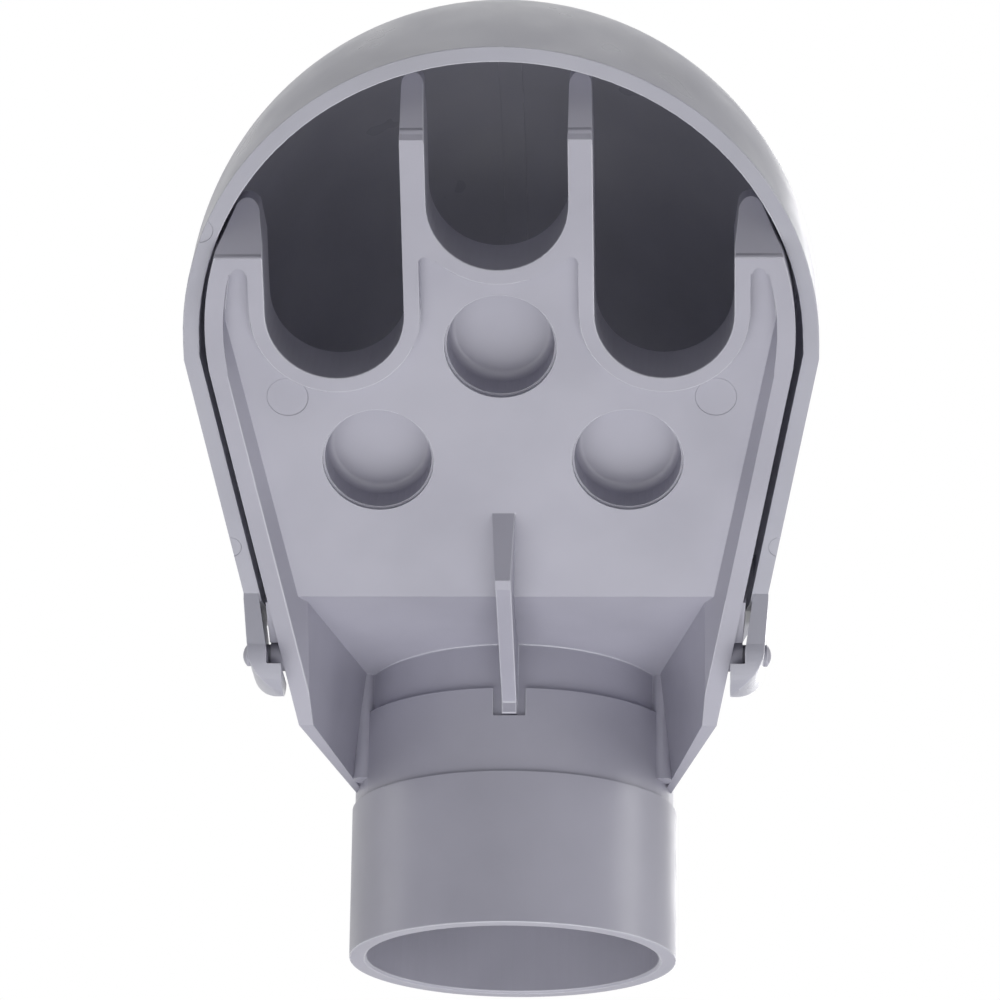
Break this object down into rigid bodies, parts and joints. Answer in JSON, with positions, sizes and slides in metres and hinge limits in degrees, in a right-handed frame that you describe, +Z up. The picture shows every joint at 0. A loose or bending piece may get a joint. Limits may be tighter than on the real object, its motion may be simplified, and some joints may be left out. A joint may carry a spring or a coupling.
{
  "type": "service entrance weatherhead",
  "caption": "Hooded plastic cap for the top of an electrical service conduit, with a slip-on socket, open wire slots, knockouts and a hood that tips back on side pins.",
  "frame": {"origin": "on the conduit axis, in the plane of the socket's lower rim", "axes": "+Z up along the conduit; -Y is the front, which the sloping face and the wire slots look toward; X runs across, along the hood's pivot pins"},
  "size_m": [0.1244, 0.1864, 0.1749],
  "materials": {
    "pvc_body": "satin moulded PVC",
    "pvc_hood": "satin moulded PVC"
  },
  "bodies": {
    "body": {"body": "pvc_body"},
    "hood": {"hood": "pvc_hood"}
  },
  "joints": [
    {"name": "hood_pivot", "type": "hinge", "parent": "body", "child": "hood", "pos_m": [0, -0.04936, 0.05134], "axis": [-1, 0, 0], "range_deg": [0, 33]}
  ]
}
